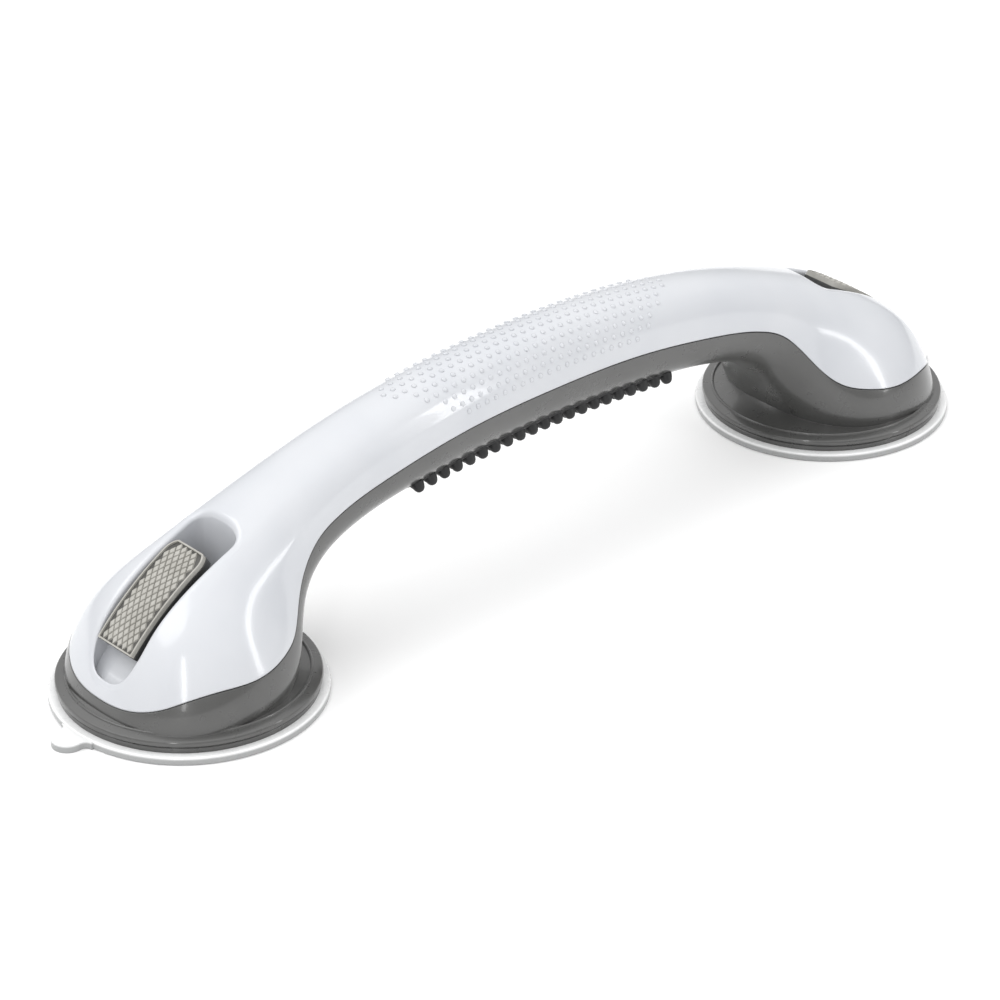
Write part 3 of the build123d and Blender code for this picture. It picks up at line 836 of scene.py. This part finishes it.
def make_lever_pad():
    inner = PAD_TRIM + BORDER
    pad = shape("INTERSECT", lever_band(0, PAD_THICK, PAD_TRIM), lever_plan(PAD_TRIM))
    recess = shape("INTERSECT", lever_band(-2, PAD_RECESS, inner), lever_plan(inner))
    return shape("DIFFERENCE", pad, recess)


def make_diamonds():
    long, wide, top = DIAMOND_LONG / 2 - 0.06, DIAMOND_WIDE / 2 - 0.04, 0.74
    corners = [(long, 0), (0, wide), (-long, 0), (0, -wide)]
    levels = ((1, -0.3), (1, 0), (top, 0.62), (0.3, 0.72))
    diamond = skinned("diamond", [[(x * grow, y * grow, z) for x, y in corners] for grow, z in levels])
    spots, out, along = [], [], []
    length = (ARC_ENDS[0] - ARC_ENDS[1]) * ARC_RADIUS
    for row in range(-9, 10):
        for column in range(-9, 10):
            u, v = row * DIAMOND_LONG / 2, (column + (row % 2) / 2) * DIAMOND_WIDE
            past_head = max(u - (length / 2 - HEAD_ROUND), 0)
            corner = np.hypot(past_head, max(abs(v) - (LEVER_HALF - HEAD_ROUND), 0))
            if abs(v) > LEVER_HALF - 1.6 or abs(u) > length / 2 - 2.4 or corner > 5.2:
                continue
            angle = (ARC_ENDS[0] + ARC_ENDS[1]) / 2 + u / ARC_RADIUS
            spots.append(on_lever(angle, v, PAD_RECESS))
            out.append((cos(angle), 2 * CROWN * v / LEVER_HALF ** 2, sin(angle)))
            along.append((-sin(angle), 0, cos(angle)))
    return bumps("diamonds", spots, out, along, diamond, 1.0, PAD)


def paint_groove_shade(pad):
    """Gives the recess's floor painted shade: a much darker copy of the pad's rubber."""
    pad.data.materials.append(GROOVE_SHADE)
    for face in pad.data.polygons:
        x, y, z = np.array(face.center) / MM
        x = abs(x)
        radius = np.hypot(x - ARC_CENTRE[0], z - ARC_CENTRE[1]) + CROWN * (y / LEVER_HALF) ** 2
        face.material_index = int(abs(ARC_RADIUS - PAD_RECESS - radius) < 0.15 and face.normal.z > 0.2)


for maker, name, node in ((make_lever_pad, "pad", True), (make_diamonds, "pad_diamonds", False)):
    for side, made in zip(("right", "left"), both(maker)):
        replaced = node and f"lever_pad_{side}"
        finished(made, f"soft_{name}_{side}", [PAD], f"lock_lever_{side}", replaced)
        if node:
            paint_groove_shade(made)

# %% [markdown]
# ## Parts that keep their solid shape
# The lever bodies, plates, stems, discs, washers, pins and screws are turned or moulded parts whose
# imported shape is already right, so they keep it and only get their finish.

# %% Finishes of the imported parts
KEPT = {"base_plate": GREY, "base_screws": STEEL, "cam_washer": NYLON, "lift_disc": STEEL, "stem": NYLON,
        "pivot_pin": STEEL, "lever": DARK}
for name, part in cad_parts.items():
    kind = name.removesuffix("_left").removesuffix("_right")
    finish = STEEL if name == "grip_screws" else KEPT.get(kind)
    if finish:
        part.data.materials.clear()
        part.data.materials.append(finish)
        print(name, "is", finish.name)

# %% [markdown]
# ## Floor and light

# %% Stage
def studio_sky():
    """A white room whose ceiling is brighter than its walls."""
    world = bpy.data.worlds.new("studio")
    bpy.context.scene.world = world
    world.use_nodes = True
    nodes, links = world.node_tree.nodes, world.node_tree.links
    kinds = ("ShaderNodeTexCoord", "ShaderNodeSeparateXYZ", "ShaderNodeMapRange")
    place, parts, level = (nodes.new(kind) for kind in kinds)
    limits = {"From Min": -0.1, "From Max": 0.9, "To Min": WALL_LIGHT, "To Max": CEILING_LIGHT}
    for name, value in limits.items():
        level.inputs[name].default_value = value
    links.new(place.outputs["Generated"], parts.inputs[0])
    links.new(parts.outputs["Z"], level.inputs["Value"])
    links.new(level.outputs[0], nodes["Background"].inputs["Strength"])
    nodes["Background"].inputs["Color"].default_value = (1, 1, 1, 1)


def floor():
    mesh = bpy.data.meshes.new("floor")
    mesh.from_pydata([(-6, -6, 0), (6, -6, 0), (6, 6, 0), (-6, 6, 0)], [], [(0, 1, 2, 3)])
    made = bpy.data.objects.new("floor", mesh)
    bpy.context.scene.collection.objects.link(made)
    finish = Finish("pale_floor", Roughness=0.9)
    pale = finish.mix(finish.noise(3), (0.93, 0.93, 0.93, 1), (0.95, 0.95, 0.95, 1))
    made.data.materials.append(finish.drive(Base_Color=pale))


def softbox(name, place, aim, size, power):
    light = bpy.data.lights.new(name, "AREA")
    light.shape, light.size, light.size_y, light.energy = "RECTANGLE", size[0], size[1], power
    made = bpy.data.objects.new(name, light)
    made.location = place
    made.rotation_euler = (Vector(aim) - Vector(place)).to_track_quat("-Z", "Y").to_euler()
    bpy.context.scene.collection.objects.link(made)


WALL_LIGHT, CEILING_LIGHT = 0.14, 1.55
studio_sky()
floor()
softbox("key", (-0.9, 0.6, 1.3), (0, 0, 0.05), (1.2, 0.8), 7)
softbox("front_strip", (0.75, -1.2, 0.55), (0.05, 0, 0.04), (0.12, 0.9), 2.5)
softbox("left_strip", (-1.1, -0.75, 0.5), (-0.15, 0, 0.03), (0.12, 0.8), 2.0)
bpy.context.scene.view_settings.view_transform = "Standard"
